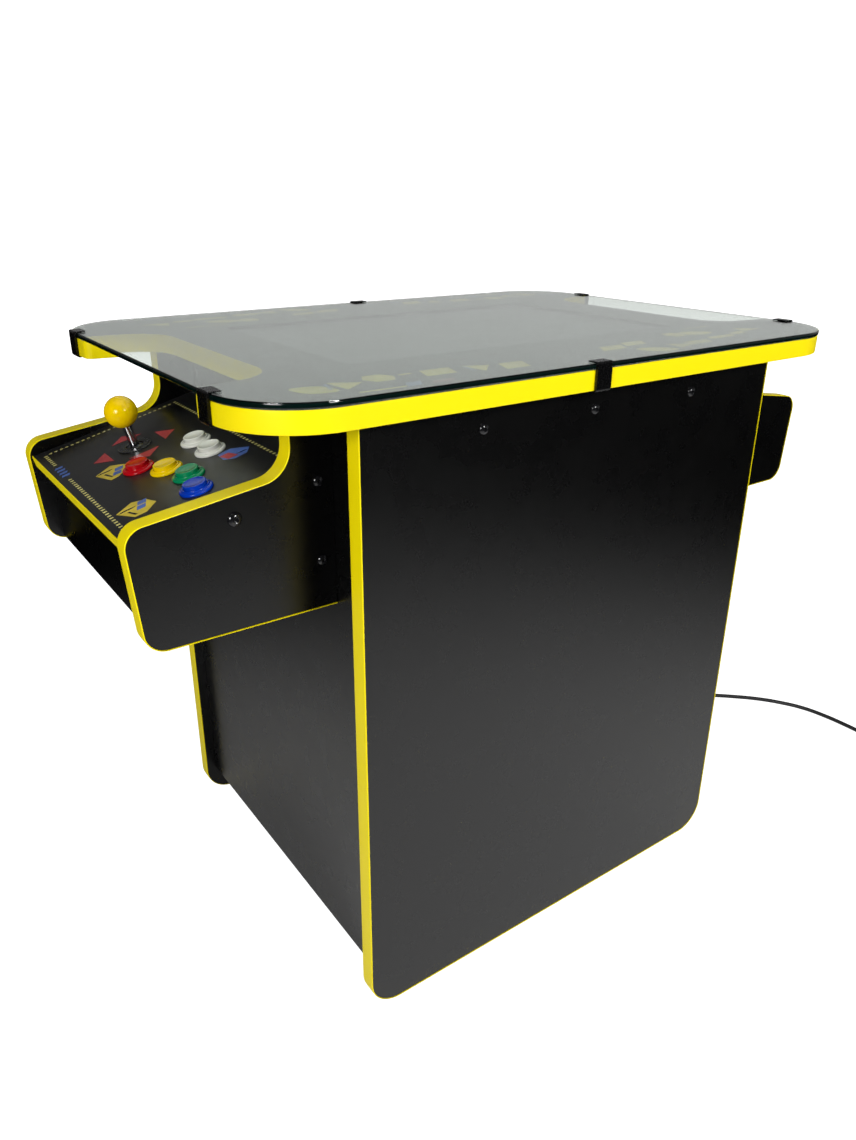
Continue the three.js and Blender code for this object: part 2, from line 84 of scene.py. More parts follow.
CLIPS = {  # (x, y, turn about z)
    "clip_side_near": (-26.6, -TABLE_Y, 0),
    "clip_side_far": (34, TABLE_Y, math.pi),
    "clip_left_near": (-TABLE_X, -195.2, -math.pi / 2),
    "clip_left_far": (-TABLE_X, 205, -math.pi / 2),
    "clip_right_near": (TABLE_X, -198, math.pi / 2),
    "clip_right_far": (TABLE_X, 176, math.pi / 2),
}
EXIT_Y, EXIT_Z = 60, 80  # where the cord leaves the right end panel
CORD_RADIUS = 3.4
COIL_AT = (771.0, -356.0)
COIL_START, COIL_PITCH, LAYER_TURNS, LAYER_RISE = 45.8, 6.9, 2.75, 7.0
PLUG_PAST_COIL, PLUG_HEIGHT = 28.0, 13.2
# The cord's middle line from the gland to the coil, as in the CAD part.
CORD_ROUTE = [
    (316, 60, 80), (334, 60, 78), (352, 60, 68), (370, 60, 50), (386, 60, 31), (404, 60, 16),
    (426, 59, 6.5), (452, 56, 3.6), (486, 47, 3.6), (524, 29, 3.6), (562, 2, 3.6), (600, -34, 3.6),
    (636, -66, 3.6), (668, -98, 3.6), (694, -133, 3.6), (712, -168, 3.6), (721, -206, 3.6),
    (724.6, -246, 3.6), (725.4, -288, 3.6), (725.4, -329.9, 3.6),
]


def turned_half(end):
    """Both control boxes are described for the left end; the right one is turned half round."""
    return Matrix.Rotation(0 if end == "left" else math.pi, 4, "Z")


def slope(end):
    """From the deck's own axes (x up the slope, z out of its surface) to the frame."""
    tilt = Matrix.Translation((-DECK_X, 0, DECK_Z)) @ Matrix.Rotation(-DECK_SLOPE, 4, "Y")
    return turned_half(end) @ tilt


UPRIGHT = Matrix.Rotation(math.pi / 2, 4, "X")  # stands a flat outline up: its y becomes z


def shift(x, y, z):
    return Matrix.Translation((x, y, z))


# ---- camera ----------------------------------------------------------------------------------

CAMERA_AT = (-0.667712, -0.8868, 0.8884)  # metres
CAMERA_YAW, CAMERA_PITCH, CAMERA_ROLL = 35.412, 22.944, 0.351  # degrees


def add_camera():
    data = bpy.data.cameras.new("camera")
    data.sensor_width = 36
    data.lens = 27.33
    data.shift_x = 0.0018
    data.shift_y = -0.0097
    data.clip_start = 0.05
    data.clip_end = 60
    camera = bpy.data.objects.new("camera", data)
    yaw, pitch, roll = (math.radians(a) for a in (CAMERA_YAW, CAMERA_PITCH, CAMERA_ROLL))
    level = math.cos(pitch)
    forward = Vector((math.sin(yaw) * level, math.cos(yaw) * level, -math.sin(pitch)))
    right = Vector((math.cos(yaw), -math.sin(yaw), 0))
    up = right.cross(forward)
    axis_x = math.cos(roll) * right + math.sin(roll) * up
    axis_y = -math.sin(roll) * right + math.cos(roll) * up
    turn = Matrix((axis_x, axis_y, -forward)).transposed().to_4x4()
    camera.matrix_world = Matrix.Translation(CAMERA_AT) @ turn
    SCENE.collection.objects.link(camera)
    SCENE.camera = camera


# ---- materials -------------------------------------------------------------------------------


def link(tree, start, end):
    tree.links.new(start, end)


def noise(tree, coordinates, scale, detail=3.0, roughness=0.55):
    made = tree.nodes.new("ShaderNodeTexNoise")
    made.inputs["Scale"].default_value = scale
    made.inputs["Detail"].default_value = detail
    made.inputs["Roughness"].default_value = roughness
    link(tree, coordinates, made.inputs["Vector"])
    return made.outputs["Fac"]


def ramp(tree, factor, stops):
    made = tree.nodes.new("ShaderNodeValToRGB")
    elements = made.color_ramp.elements
    while len(elements) < len(stops):
        elements.new(0.5)
    for element, (position, color) in zip(elements, stops):
        element.position = position
        element.color = (*color, 1)
    link(tree, factor, made.inputs["Fac"])
    return made.outputs["Color"]


def spread_value(tree, factor, low, high):
    made = tree.nodes.new("ShaderNodeMapRange")
    made.inputs["From Min"].default_value = 0.3
    made.inputs["From Max"].default_value = 0.7
    made.inputs["To Min"].default_value = low
    made.inputs["To Max"].default_value = high
    link(tree, factor, made.inputs["Value"])
    return made.outputs["Result"]


def look(name, color, roughness, vary=0.12, patch=9.0, grain=900.0, bump=0.08, depth=0.0002,
         rough_vary=0.06, **sockets):
    """A material whose colour, roughness and fine relief vary over the surface.

    `patch` is the scale of the colour's variation, `grain` of the relief; `sockets` are even
    values for the shader's own inputs.
    """
    made = bpy.data.materials.new(name)
    made.use_nodes = True
    tree = made.node_tree
    shader = tree.nodes["Principled BSDF"]
    coordinates = tree.nodes.new("ShaderNodeTexCoord").outputs["Object"]
    dark = [c * (1 - vary) for c in color]
    light = [min(1.0, c * (1 + vary)) for c in color]
    tint = ramp(tree, noise(tree, coordinates, patch), [(0.35, dark), (0.65, light)])
    link(tree, tint, shader.inputs["Base Color"])
    blur = noise(tree, coordinates, patch * 6, 5)
    rough = spread_value(tree, blur, max(0.01, roughness - rough_vary), roughness + rough_vary)
    link(tree, rough, shader.inputs["Roughness"])
    relief = tree.nodes.new("ShaderNodeBump")
    relief.inputs["Strength"].default_value = bump
    relief.inputs["Distance"].default_value = depth
    link(tree, noise(tree, coordinates, grain, 2), relief.inputs["Height"])
    link(tree, relief.outputs["Normal"], shader.inputs["Normal"])
    for key, value in sockets.items():
        shader.inputs[key.replace("_", " ")].default_value = value
    return made


BUTTON_COLORS = {
    "red": (0.48, 0.003, 0.008), "yellow": (0.9, 0.62, 0.0),
    "green": (0.002, 0.24, 0.09), "blue": (0.001, 0.035, 0.4),
}
SHEET_COLORS = {"yellow": (0.56, 0.5, 0.0), "red": (0.2, 0.05, 0.05), "blue": (0.12, 0.2, 0.36)}
PRINT_COLORS = {
    "red": (0.42, 0.03, 0.035), "pale": (0.66, 0.6, 0.2),
    "yellow": (0.62, 0.47, 0.04), "blue": (0.06, 0.13, 0.42),
}


def make_looks():
    """Every material by the name that pieces ask for: Blender may add a number to its own."""
    made = {}

    def add(name, *values, **options):
        made[name] = look(name, *values, **options)

    add("laminate", (0.0008, 0.0008, 0.00085), 0.28, vary=0.2, patch=5, grain=1300,
        bump=0.06, rough_vary=0.02)
    add("edging", (0.9, 0.735, 0.0), 0.38, vary=0.012, patch=6, grain=500, bump=0.02,
        rough_vary=0.02, Specular_IOR_Level=0.18)
    add("table_glass", (0.68, 0.74, 0.695), 0.012, vary=0.01, patch=3, bump=0.004,
        grain=14, rough_vary=0.006, IOR=1.52, Transmission_Weight=1.0)
    add("artwork", (0.010, 0.010, 0.0105), 0.45, vary=0.06, patch=3, grain=2000,
        bump=0.03, rough_vary=0.01)
    add("screen", (0.012, 0.017, 0.018), 0.3, vary=0.03, patch=3, grain=2500, bump=0.02,
        rough_vary=0.006)
    add("screen_rim", (0.007, 0.007, 0.008), 0.4, patch=20, grain=1500, bump=0.1)
    add("circuit", (0.012, 0.13, 0.05), 0.4, patch=60, grain=400, bump=0.2)
    add("clip_steel", (0.002, 0.002, 0.0022), 0.26, patch=60, grain=1600, bump=0.04,
        Specular_IOR_Level=0.3)
    add("shaft_chrome", (0.7, 0.71, 0.72), 0.15, vary=0.02, patch=40, rough_vary=0.03,
        bump=0.01, Metallic=1.0)
    add("black_plastic", (0.008, 0.008, 0.009), 0.38, patch=50, grain=1400, bump=0.1)
    add("washer_black", (0.013, 0.013, 0.0135), 0.26, patch=50, grain=1400, bump=0.04)
    add("gloss_black", (0.006, 0.006, 0.007), 0.16, patch=60, grain=900, bump=0.02)
    add("ball_yellow", (1.0, 0.66, 0.0), 0.12, vary=0.02, patch=30, grain=300, bump=0.01,
        Specular_IOR_Level=0.3)
    add("cord_black", (0.008, 0.008, 0.009), 0.5, patch=60, grain=1800, bump=0.15)
    add("button_white", (0.72, 0.72, 0.66), 0.2, vary=0.03, patch=50, bump=0.02)
    add("deck_print", (0.014, 0.014, 0.0145), 0.3, vary=0.12, patch=6, grain=1700,
        bump=0.05, rough_vary=0.02, Specular_IOR_Level=0.24)
    # Near-black green for the band on the glass's edge: painted reflection of the black artwork seen
    # inside the glass.
    add("glass_edge", (0.001, 0.006, 0.005), 0.1, patch=30, grain=700, bump=0.02)
    add("brass", (0.6, 0.42, 0.16), 0.22, vary=0.05, patch=80, Metallic=1.0)
    for name, color in BUTTON_COLORS.items():
        add(f"button_{name}", color, 0.15, vary=0.04, patch=50, bump=0.02,
            Specular_IOR_Level=0.28)
    for name, color in SHEET_COLORS.items():
        add(f"sheet_{name}", color, 0.4, patch=30, grain=2000, bump=0.04)
    for name, color in PRINT_COLORS.items():
        add(f"print_{name}", color, 0.35, patch=70, grain=1700, bump=0.08)
    return made


LOOKS = make_looks()


# ---- mesh making: every part is (points, faces) in millimetres ------------------------------


def rounded(corners, closed=True, step=math.radians(4)):
    """Outline through (x, y, radius) corners, anticlockwise, as (point, outward normal) pairs."""
    path = []
    count = len(corners)
    for i, corner in enumerate(corners):
        here = Vector(corner[:2])
        before = Vector(corners[i - 1][:2]) if closed or i > 0 else None
        after = Vector(corners[(i + 1) % count][:2]) if closed or i < count - 1 else None
        into = (here - before).normalized() if before is not None else (after - here).normalized()
        out = (after - here).normalized() if after is not None else into
        turn = math.atan2(into.cross(out), into.dot(out))
        radius = corner[2] if len(corner) > 2 else 0
        if radius == 0 or abs(turn) < 1e-6:
            middle = (into + out).normalized()
            scale = 1 / math.cos(turn / 2)
            path.append((here, Vector((middle.y, -middle.x)) * scale))
            continue
        reach = radius * math.tan(abs(turn) / 2)
        side = math.copysign(1, turn)
        start = here - into * reach
        inward = Vector((-into.y, into.x)) * side
        centre = start + inward * radius
        steps = max(2, math.ceil(abs(turn) / step))
        for k in range(steps + 1):
            spoke = Matrix.Rotation(turn * k / steps, 2) @ (-inward)
            path.append((centre + spoke * radius, spoke * side))
    return path


def rectangle(half_x, half_y, radius=0.0, x=0.0, y=0.0):
    return rounded([
        (x - half_x, y - half_y, radius), (x + half_x, y - half_y, radius),
        (x + half_x, y + half_y, radius), (x - half_x, y + half_y, radius),
    ])


def circle(radius, x=0.0, y=0.0, steps=48):
    angles = [math.tau * i / steps for i in range(steps)]
    spokes = [Vector((math.cos(a), math.sin(a))) for a in angles]
    return [(Vector((x, y)) + spoke * radius, spoke) for spoke in spokes]


def polygon(points):
    return rounded([(x, y, 0) for x, y in points])


def merged(*parts):
    points, faces = [], []
    for part_points, part_faces in parts:
        base = len(points)
        points.extend(part_points)
        faces.extend(tuple(i + base for i in face) for face in part_faces)
    return points, faces


def moved(part, matrix):
    return [matrix @ Vector(p) for p in part[0]], part[1]


def sweep(path, profile, closed=True):
    """Carries a profile of (outward, height) points along a path."""
    points = [Vector((*(at + normal * out), high)) for at, normal in path for out, high in profile]
    rows, width = len(path), len(profile)
    faces = []
    for i in range(rows if closed else rows - 1):
        following = (i + 1) % rows
        for k in range(width - 1):
            low, high = i * width + k, following * width + k
            faces.append((low, high, high + 1, low + 1))
    return points, faces


def ring_sweep(path, profile, closed=True):
    """Sweep of a profile that closes on itself, with flat ends where the path is open."""
    points, faces = sweep(path, [*profile, profile[0]], closed)
    if not closed:
        width = len(profile) + 1
        last = (len(path) - 1) * width
        faces.append(tuple(reversed(range(width - 1))))
        faces.append(tuple(range(last, last + width - 1)))
    return points, faces


def wall(low, high, bevel, sign=-1):
    """Profile of a board's edge from bottom to top, its two corners rounded by `bevel`."""
    if bevel == 0:
        return [(0, low), (0, high)]
    near = bevel * (1 - math.sqrt(0.5))
    return [
        (sign * bevel, low), (sign * near, low + near), (0, low + bevel),
        (0, high - bevel), (sign * near, high - near), (sign * bevel, high),
    ]


def slab(path, low, high, bevel=0.0, holes=()):
    """Board of the given outline between two heights, with holes through it."""
    parts = [sweep(path, wall(low, high, bevel))]
    parts += [sweep(hole, wall(low, high, bevel, 1)) for hole in holes]
    for height in (low, high):
        rings = [[Vector((*(at - normal * bevel), height)) for at, normal in path]]
        rings += [[Vector((*(at + normal * bevel), height)) for at, normal in hole] for hole in holes]
        flat = [p for ring in rings for p in ring]
        parts.append((flat, [tuple(t) for t in geometry.tessellate_polygon(rings)]))
    return merged(*parts)


def block(x0, x1, y0, y1, z0, z1, bevel=0.5, radius=0.6):
    path = rectangle((x1 - x0) / 2, (y1 - y0) / 2, radius, (x0 + x1) / 2, (y0 + y1) / 2)
    return slab(path, z0, z1, bevel)


def side_scale(angle, sides):
    """How much further out a regular polygon lies than its inscribed circle, at an angle."""
    half = math.pi / sides
    return 1 / math.cos((angle % (2 * half)) - half)


def lathe(profile, steps=48, closed=False):
    """Turns (radius, height[, sides]) points about z; `sides` makes that ring a polygon."""
    points, rings, faces = [], [], []
    for radius, height, *sides in profile:
        if radius == 0:
            points.append(Vector((0, 0, height)))
            rings.append([len(points) - 1] * steps)
            continue
        ring = []
        for i in range(steps):
            angle = math.tau * i / steps
            out = radius * (side_scale(angle, sides[0]) if sides else 1)
            ring.append(len(points))
            points.append(Vector((out * math.cos(angle), out * math.sin(angle), height)))
        rings.append(ring)
    if closed:
        rings.append(rings[0])
    for low, high in zip(rings, rings[1:]):
        for i in range(steps):
            k = (i + 1) % steps
            corners = list(dict.fromkeys((low[i], low[k], high[k], high[i])))
            if len(corners) > 2:
                faces.append(tuple(corners))
    return points, faces


def arc(radius, start, end, steps, centre=0.0):
    """(radius, height) points on a circle about the axis, from one polar angle to another."""
    angles = [start + (end - start) * i / steps for i in range(steps + 1)]
    return [(radius * math.sin(a), centre + radius * math.cos(a)) for a in angles]


def piece(name, part, material, body="cabinet", replaces=(), sharp=32):
    mesh = bpy.data.meshes.new(name)
    points, faces = part
    mesh.from_pydata([Vector(p) * MM for p in points], [], faces)
    shape = bmesh.new()
    shape.from_mesh(mesh)
    bmesh.ops.remove_doubles(shape, verts=shape.verts, dist=2e-6)
    bmesh.ops.dissolve_degenerate(shape, edges=shape.edges, dist=1e-7)
    bmesh.ops.recalc_face_normals(shape, faces=shape.faces)
    shape.to_mesh(mesh)
    shape.free()
    mesh.shade_smooth()
    mesh.set_sharp_from_angle(angle=math.radians(sharp))
    mesh.materials.append(LOOKS[material])
    made = bpy.data.objects.new(name, mesh)
    SCENE.collection.objects.link(made)
    flats = made.modifiers.new("flat_faces", "WEIGHTED_NORMAL")
    flats.keep_sharp = True
    flats.weight = 100
    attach(made, body)
    if replaces:
        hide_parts(*replaces)
    return made


# ---- mains cord ------------------------------------------------------------------------------


def coil_points():
    """Two layers of flat spiral: inwards on the floor, then back outwards on top of it."""
    points = []
    per_turn = 20
    total = round(2 * LAYER_TURNS * per_turn)
    for i in range(total + 1):
        turns = i / per_turn
        from_middle = abs(turns - LAYER_TURNS)
        radius = COIL_START - COIL_PITCH * (LAYER_TURNS - from_middle)
        angle = math.pi + math.tau * turns
        share = min(1, max(0, (turns - LAYER_TURNS + 0.3) / 0.5))
        height = CORD_RADIUS + 0.2 + LAYER_RISE * share * share * (3 - 2 * share)
        x = COIL_AT[0] + radius * math.cos(angle)
        points.append((x, COIL_AT[1] + radius * math.sin(angle), height))
    return points


def add_cord():
    outer = COIL_AT[0] + COIL_START
    base = COIL_AT[1]
    plug_end = (outer, base + PLUG_PAST_COIL + 3, PLUG_HEIGHT)
    tail = [(outer, base + 11, 11.4), (outer, base + 20, 12.6), plug_end]
    points = [(END_X + 26, EXIT_Y, EXIT_Z), *CORD_ROUTE, *coil_points(), *tail]
    curve = bpy.data.curves.new("mains_cord_line", "CURVE")
    curve.dimensions = "3D"
    curve.bevel_depth = CORD_RADIUS * MM
    curve.bevel_resolution = 4
    curve.resolution_u = 5
    curve.use_fill_caps = True
    spline = curve.splines.new("BEZIER")
    spline.bezier_points.add(len(points) - 1)
    for knot, point in zip(spline.bezier_points, points):
        knot.co = Vector(point) * MM
        knot.handle_left_type = "AUTO"
        knot.handle_right_type = "AUTO"
    curve.materials.append(LOOKS["cord_black"])
    cord = bpy.data.objects.new("mains_cord_flex", curve)
    SCENE.collection.objects.link(cord)
    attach(cord, "cabinet")
    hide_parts("mains_cord", "mains_coil")
    plug, prongs = add_plug()


def add_plug():
    place = shift(COIL_AT[0] + COIL_START, COIL_AT[1] + PLUG_PAST_COIL, PLUG_HEIGHT)
    turn = place @ Matrix.Rotation(-math.pi / 2, 4, "X")
    ribs = [(0, 0)]
    for i in range(6):
        radius = 4.4 + i * 0.55
        z = 0.3 + i * 4.3
        groove = radius - 0.7
        ribs += [(radius, z), (radius + 0.2, z + 2.4), (groove, z + 2.8), (groove, z + 4.0)]
    ribs += [(7.6, 26.2), (0, 26.2)]
    body = slab(rectangle(13, 12.8, 5), 24, 62, 2.6)
    grip = [slab(rectangle(13.2, 9.5, 3), z, z + 2.2, 0.5) for z in (32, 37, 42)]
    part = moved(merged(lathe(ribs, 32), body, *grip), turn)
    plug = piece("mains_plug_body", part, "black_plastic",
                 replaces=["mains_plug"])
    blades = [block(x - 1.2, x + 1.2, y - 3, y + 3, 61, 80, 0.5, 0.5)
              for x, y in ((-6.3, 2), (6.3, 2), (0, -6))]
    prongs = piece("mains_plug_prongs", moved(merged(*blades), turn), "brass")
    return plug, prongs


def add_gland():
    ribs = [(0, 0), (11, 0), (11, 2.6), (10.4, 3.2), (8, 3.4), (7.6, 5)]
    for i in range(7):
        radius = 7.2 - i * 0.32
        z = 5.6 + i * 4.5
        groove = radius - 1.1
        ribs += [(radius, z), (radius - 0.1, z + 2.6), (groove, z + 3.0), (groove, z + 4.0)]
    ribs += [(4.6, 37.2), (0, 37.3)]
    turn = shift(END_X + GAP, EXIT_Y, EXIT_Z) @ Matrix.Rotation(math.pi / 2, 4, "Y")
    piece("cord_gland_sleeve", moved(lathe(ribs, 36), turn), "black_plastic",
          replaces=["cord_gland"])


# ---- body ------------------------------------------------------------------------------------

# Half of the edging's cross-section: (how far it stands out, distance from its rim).
EDGE_CURVE = [(0.3, 0), (0.6, 0), (0.95, 0.15), (1.2, 0.45), (1.34, 0.9), (1.44, 3.8)]
EDGE_PROFILE = [
    *((out, inset - EDGE_HALF) for out, inset in EDGE_CURVE),
    (EDGE_PROUD, 0),
    *((out, EDGE_HALF - inset) for out, inset in reversed(EDGE_CURVE)),
]


def side_corners():
    return [
        (-SIDE_X, BODY_TOP), (-SIDE_X, EDGE_PROUD, SIDE_CORNER),
        (SIDE_X, EDGE_PROUD, SIDE_CORNER), (SIDE_X, BODY_TOP),
    ]


def bolt(place, size):
    """Low domed bolt head with a hexagon socket, underside on z = 0, `size` times 13 mm wide."""
    part = lathe([
        (0, 1.1), (1.9, 1.1, 6), (2.05, 1.3, 6), (2.1, 3.15, 6), (2.6, 3.35), (3.9, 3.1), (5.1, 2.4),
        (6.1, 1.4), (6.5, 0.7), (6.55, 0.25), (6.4, 0.02), (0, 0.02),
    ], 36)
    return moved(part, place @ Matrix.Scale(size, 4))


def add_sides():
    for side, sign in (("near", -1), ("far", 1)):
        place = shift(0, sign * (SIDE_Y - PANEL / 2), 0) @ UPRIGHT
        board = slab(rounded(side_corners()), -PANEL / 2, PANEL / 2, 0.4)
        piece(f"side_board_{side}", moved(board, place), "laminate",
              replaces=[f"side_panel_{side}"])
        strip = ring_sweep(rounded(side_corners(), closed=False), EDGE_PROFILE, closed=False)
        piece(f"side_strip_{side}", moved(strip, place), "edging",
              replaces=[f"side_edging_{side}"])
        outwards = Matrix.Rotation(-sign * math.pi / 2, 4, "X")
        heads = [bolt(shift(x, sign * SIDE_Y, SIDE_BOLT_HEIGHT) @ outwards, SIDE_BOLT_SIZE)
                 for x in SIDE_BOLT_X]
        piece(f"side_bolts_{side}", merged(*heads), "gloss_black")


def add_inside():
    for name in ("end_panel_left", "end_panel_right", "base_panel", "monitor_shelf"):
        paint_node(name, "laminate")
    paint_node("game_board", "circuit")


def paint_node(name, material):
    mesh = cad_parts[name].data
    mesh.materials.clear()
    mesh.materials.append(LOOKS[material])


# ---- table top -------------------------------------------------------------------------------


def top_path():
    x, y = TABLE_X - EDGE_PROUD, TABLE_Y - EDGE_PROUD
    corner, tip = TABLE_CORNER - EDGE_PROUD, NOTCH_TIP - EDGE_PROUD
    mouth, notch = NOTCH_MOUTH + EDGE_PROUD, NOTCH_X - EDGE_PROUD
    inner, bend = NOTCH_INNER + EDGE_PROUD, NOTCH_CORNER + EDGE_PROUD
    half = [
        (x, mouth, tip), (x, y, corner), (-x, y, corner), (-x, mouth, tip),
        (-notch, inner, bend), (-notch, -inner, bend),
    ]
    return rounded([*half, *((-a, -b, r) for a, b, r in half)])


def add_top():
    opening = rectangle(SCREEN_X / 2 + OPENING_MARGIN, SCREEN_Y / 2 + OPENING_MARGIN, 3)
    board = slab(top_path(), BOARD_LOW, BOARD_TOP, 0.3, [opening])
    piece("top_board_panel", board, "laminate", replaces=["top_board"])
    middle = (BOARD_LOW + BOARD_TOP) / 2
    strip = moved(ring_sweep(top_path(), EDGE_PROFILE), shift(0, 0, middle + TOP_EDGE_LIFT))
    piece("top_strip", strip, "edging", replaces=["top_edging"])
    window = rectangle(SCREEN_X / 2, SCREEN_Y / 2, 0)
    sheet = slab(top_path(), SHEET_LOW, SHEET_TOP, 0, [window])
    piece("artwork_print", sheet, "artwork", replaces=["artwork_sheet"])
    glass = slab(rectangle(TABLE_X, TABLE_Y, TABLE_CORNER), GLASS_BOTTOM, TABLE_TOP, 0.9)
    piece("glass_plate", glass, "table_glass", replaces=["glass_top"])
    # Near-black band round the middle of the glass's edge: painted reflection, standing in for the
    # dark look the edge gets from the black artwork reflected inside the glass.
    dark_edge_band = ring_sweep(rectangle(TABLE_X, TABLE_Y, TABLE_CORNER), [
        (0.02, -2.2), (0.3, -1.9), (0.45, -1.2), (0.5, 0), (0.45, 1.2), (0.3, 1.9), (0.02, 2.2),
    ])
    middle_of_glass = shift(0, 0, (GLASS_BOTTOM + TABLE_TOP) / 2)
    piece("glass_rim_painted_reflection", moved(dark_edge_band, middle_of_glass), "glass_edge")


def add_monitor():
    face = BOARD_TOP - GAP
    half_x, half_y = SCREEN_X / 2 + MONITOR_MARGIN, SCREEN_Y / 2 + MONITOR_MARGIN
    pane = rectangle(SCREEN_X / 2 + 1, SCREEN_Y / 2 + 1, 0)
    rim = slab(rectangle(half_x, half_y, 3), face - 19.9, face, 0.5, [pane])
    low = face - 48
    back = merged(
        slab(rectangle(half_x * 0.75, half_y * 0.7, 8), low, face - 18.5, 2),
        slab(rectangle(half_x - 2, half_y - 2, 3), face - 19.8, face - 6, 0.4),
    )
    piece("monitor_rim", rim, "screen_rim", replaces=["monitor"])
    piece("monitor_back", back, "black_plastic")
    panel = slab(rectangle(SCREEN_X / 2 + 0.9, SCREEN_Y / 2 + 0.9, 0), face - 5.9, face - 1.2, 0.3)
    piece("monitor_panel", panel, "screen")


def clip_part():
    """Bent steel strap, built facing -Y."""
    top, low = TABLE_TOP + GAP, BOARD_LOW - 0.8 + TOP_EDGE_LIFT - GAP
    out = -GAP
    under = CLIP_TAB * 0.8
    path = rounded([
        (out - CLIP_STRAP, top + CLIP_STEEL, 2.2), (out - CLIP_STRAP, low - CLIP_STEEL, 4),
        (under, low - CLIP_STEEL, 0.4), (under, low, 0.4), (out, low, 0.8), (out, top, 0.8),
        (CLIP_TAB, top, 0.4), (CLIP_TAB, top + CLIP_STEEL, 0.4),
    ])
    turn = Matrix.Rotation(math.pi / 2, 4, "Z") @ UPRIGHT
    return moved(slab(path, -CLIP_WIDTH / 2, CLIP_WIDTH / 2, 0.25), turn)


def add_clips():
    for name, (x, y, turn) in CLIPS.items():
        part = moved(clip_part(), shift(x, y, 0) @ Matrix.Rotation(turn, 4, "Z"))
        piece(f"{name}_bent", part, "clip_steel", replaces=[name])


# ---- control boxes ---------------------------------------------------------------------------


def plate_corners():
    """Open outline from under the table down the neck, along the top and round the nose."""
    return [
        (-PLATE_NECK_X, BODY_TOP), (-PLATE_NECK_X, 644.0, 32.5), (-483, 620.3, 19.5),
        (-473.7, PLATE_BOTTOM, 21), (-END_X - GAP, PLATE_BOTTOM),
    ]


def add_plates(end):
    turn = turned_half(end)
    near = -1 if end == "left" else 1
    for side, sign in (("near", near), ("far", -near)):
        name = f"{end}_{side}"
        place = turn @ shift(0, sign * (PLATE_Y - PANEL / 2), 0) @ UPRIGHT
        closed = rounded([*plate_corners(), (-END_X - GAP, BODY_TOP)])
        board = slab(closed, -PANEL / 2, PANEL / 2, 0.4)
        piece(f"plate_board_{name}", moved(board, place), "laminate",
              replaces=[f"control_plate_{name}"])
        strip = ring_sweep(rounded(plate_corners(), closed=False), EDGE_PROFILE, closed=False)
        piece(f"plate_strip_{name}", moved(strip, place), "edging",
              replaces=[f"plate_edging_{name}"])
        outwards = Matrix.Rotation(-sign * math.pi / 2, 4, "X")
        heads = [bolt(turn @ shift(x, sign * PLATE_Y, z) @ outwards, size)
                 for x, z, size in PLATE_BOLTS]
        piece(f"plate_bolts_{name}", merged(*heads), "gloss_black")


def add_deck(end):
    place = slope(end)
    holes = [circle(BUTTON_HOLE, x, y) for x, y in BUTTONS.values()]
    holes.append(circle(STICK_HOLE, *STICK_AT))
    outline = rounded([
        (EDGE_PROUD, -DECK_HALF), (DECK_LENGTH, -DECK_HALF),
        (DECK_LENGTH, DECK_HALF), (EDGE_PROUD, DECK_HALF),
    ])
    board = slab(outline, -THIN, 0, 0.3, holes)
    piece(f"deck_board_{end}", moved(board, place), "deck_print",
          replaces=[f"control_deck_{end}"])
    low, inner = -THIN - DECK_EDGE_RISE, EDGE_PROUD - GAP
    profile = rounded([
        (0, low, 1.1), (inner, low), (inner, DECK_EDGE_RISE), (0, DECK_EDGE_RISE, 1.1),
    ])
    strip = moved(slab(profile, -DECK_HALF, DECK_HALF, 0.2), place @ UPRIGHT)
    piece(f"deck_strip_{end}", strip, "edging", replaces=[f"deck_edging_{end}"])
    paint_node(f"control_front_{end}", "laminate")
    paint_node(f"control_floor_{end}", "laminate")


def housing_part():
    """Fixed part of a push button: flange and collar above the deck, barrel and nut below."""
    return lathe([
        (0, -17), (12.1, -17), (12.1, 3.9), (12.35, 4.35), (12.8, 4.5), (13.3, 4.4), (13.6, 4.0),
        (13.75, 3.2), (14.3, 2.95), (15.7, 2.75), (16.35, 2.3), (16.7, 1.5), (16.7, 0.7),
        (16.5, 0.15), (16.2, 0.02), (14, 0.02),
        (14, -12.9), (17, -12.9, 6), (17, -17.9, 6), (14, -18), (14, -30), (0, -30),
    ])


def plunger_part():
    """Moving cap of a push button, dished on top."""
    return lathe([
        (0, -14), (11.8, -14), (11.8, 7.2), (11.65, 7.75), (11.2, 8.1), (10.6, 8.2), (9.9, 8.05),
        (8.6, 7.6), (6, 7.15), (3, 6.95), (0, 6.9),
    ])


def add_buttons(end):
    for name, (x, y) in BUTTONS.items():
        place = slope(end) @ shift(x, y, 0)
        material = "button_white" if name.startswith("white") else f"button_{name}"
        piece(f"housing_{name}_{end}", moved(housing_part(), place), material)
        node_name = f"button_{name}_{end}"
        piece(f"plunger_{name}_{end}", moved(plunger_part(), place), material, node_name,
              replaces=[node_name])


def ball_part(top):
    """Ball whose middle is at height `top` over the pivot, flat where the shaft enters it."""
    low_end = math.pi - math.asin(BALL_FLAT / BALL_RADIUS)
    return lathe([(0, top), (BALL_FLAT, top), *arc(BALL_RADIUS, low_end, 0, 32, top)], 64)


def shaft_part(top):
    """Bright shaft with its retaining collar and the cross pin that it turns on."""
    shaft = lathe([
        (0, -22), (6.4, -22), (7, -21.4), (7, -12.6), (6.4, -12), (SHAFT_RADIUS, -11.6),
        (SHAFT_RADIUS, top - 1), (4.6, top - 0.4), (0, top - 0.4),
    ], 48)
    pin = lathe([(0, -8.2), (2, -8.2), (2.2, -8), (2.2, 8), (2, 8.2), (0, 8.2)], 16)
    return merged(shaft, moved(pin, Matrix.Rotation(math.pi / 2, 4, "Y")))


def seal_part():
    """Domed seal about the pivot, which closes the deck's hole at every tilt of the stick."""
    hole = SHAFT_RADIUS + 0.1
    wide = math.radians(31)
    return lathe([
        *arc(SEAL_INNER, math.asin(hole / SEAL_INNER), wide, 10),
        *arc(SEAL_OUTER, wide, math.asin(hole / SEAL_OUTER), 10),
    ], 64, closed=True)


